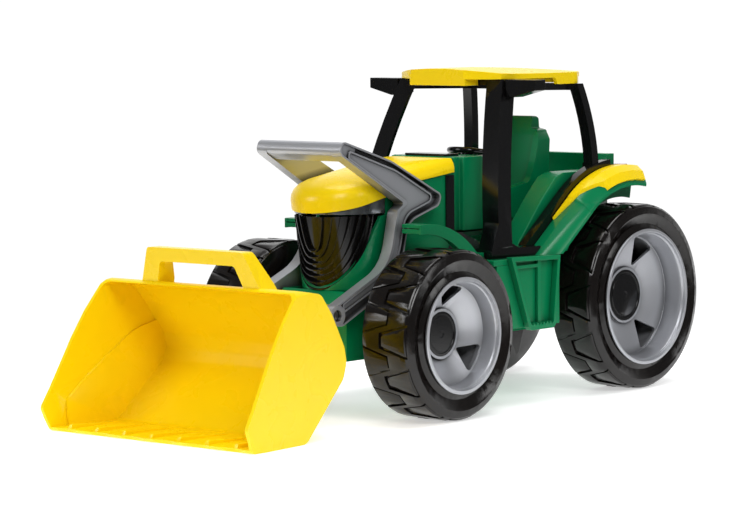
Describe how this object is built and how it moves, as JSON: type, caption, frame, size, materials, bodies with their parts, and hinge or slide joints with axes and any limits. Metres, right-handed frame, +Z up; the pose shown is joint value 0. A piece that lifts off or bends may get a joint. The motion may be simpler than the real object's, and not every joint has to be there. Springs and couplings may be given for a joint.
{
  "type": "toy front loader",
  "caption": "Toy farm tractor with an open cab, large rolling wheels and a front loader that lifts and tips a wide bucket.",
  "frame": {"origin": "centre of the bounding box in plan, on the floor", "axes": "+X forwards to the bucket, +Y to the vehicle's left, +Z up"},
  "size_m": [0.62, 0.246, 0.2925],
  "materials": {
    "yellow_plastic": "satin moulded",
    "green_plastic": "satin moulded",
    "black_plastic": "gloss moulded",
    "silver_plastic": "metallic-filled moulded",
    "tyre_plastic": "gloss hard plastic",
    "steel": "drawn",
    "lamp_clear": "gloss",
    "lamp_red": "gloss"
  },
  "bodies": {
    "body": {"chassis": "green_plastic", "base_plates": "green_plastic", "deck": "green_plastic", "mudguard_left": "green_plastic", "mudguard_right": "green_plastic", "step_left": "green_plastic", "step_right": "green_plastic", "fender_left": "green_plastic", "fender_right": "green_plastic", "hood_sides": "green_plastic", "console": "green_plastic", "cab_tub": "green_plastic", "seat": "green_plastic", "fender_cap_left": "yellow_plastic", "fender_cap_right": "yellow_plastic", "hood_cover": "yellow_plastic", "roof": "yellow_plastic", "grille": "black_plastic", "hood_strips": "black_plastic", "dash_cowl": "black_plastic", "steering_column": "black_plastic", "cab_frame": "black_plastic", "lamp_left": "black_plastic", "lamp_right": "black_plastic", "tow_hitch": "black_plastic", "front_axle": "steel", "rear_axle": "steel", "axle_clips": "steel", "body_screws": "steel", "headlight_left": "lamp_clear", "headlight_right": "lamp_clear", "tail_light_left": "lamp_red", "tail_light_right": "lamp_red"},
    "loader": {"loader_frame": "silver_plastic", "loader_pins": "steel", "bucket_pins": "steel"},
    "bucket": {"bucket": "yellow_plastic"},
    "steering": {"steering_wheel": "black_plastic"},
    "wheel_front_left": {"tyre_front_left": "tyre_plastic", "rim_front_left": "silver_plastic", "cap_front_left": "black_plastic"},
    "wheel_front_right": {"tyre_front_right": "tyre_plastic", "rim_front_right": "silver_plastic", "cap_front_right": "black_plastic"},
    "wheel_rear_left": {"tyre_rear_left": "tyre_plastic", "rim_rear_left": "silver_plastic", "cap_rear_left": "black_plastic"},
    "wheel_rear_right": {"tyre_rear_right": "tyre_plastic", "rim_rear_right": "silver_plastic", "cap_rear_right": "black_plastic"}
  },
  "joints": [
    {"name": "loader_lift", "type": "hinge", "parent": "body", "child": "loader", "pos_m": [0.014, 0, 0.184], "axis": [0, -1, 0], "range_deg": [0, 55]},
    {"name": "bucket_tilt", "type": "hinge", "parent": "loader", "child": "bucket", "pos_m": [0.133, 0, 0.092], "axis": [0, 1, 0], "range_deg": [-25, 60]},
    {"name": "steering_turn", "type": "hinge", "parent": "body", "child": "steering", "pos_m": [-0.108, 0, 0.216], "axis": [-0.1392, 0, 0.9903], "continuous": true},
    {"name": "front_left_roll", "type": "hinge", "parent": "body", "child": "wheel_front_left", "pos_m": [0.049, 0, 0.0725], "axis": [0, 1, 0], "continuous": true},
    {"name": "front_right_roll", "type": "hinge", "parent": "body", "child": "wheel_front_right", "pos_m": [0.049, 0, 0.0725], "axis": [0, 1, 0], "continuous": true},
    {"name": "rear_left_roll", "type": "hinge", "parent": "body", "child": "wheel_rear_left", "pos_m": [-0.226, 0, 0.084], "axis": [0, 1, 0], "continuous": true},
    {"name": "rear_right_roll", "type": "hinge", "parent": "body", "child": "wheel_rear_right", "pos_m": [-0.226, 0, 0.084], "axis": [0, 1, 0], "continuous": true}
  ]
}
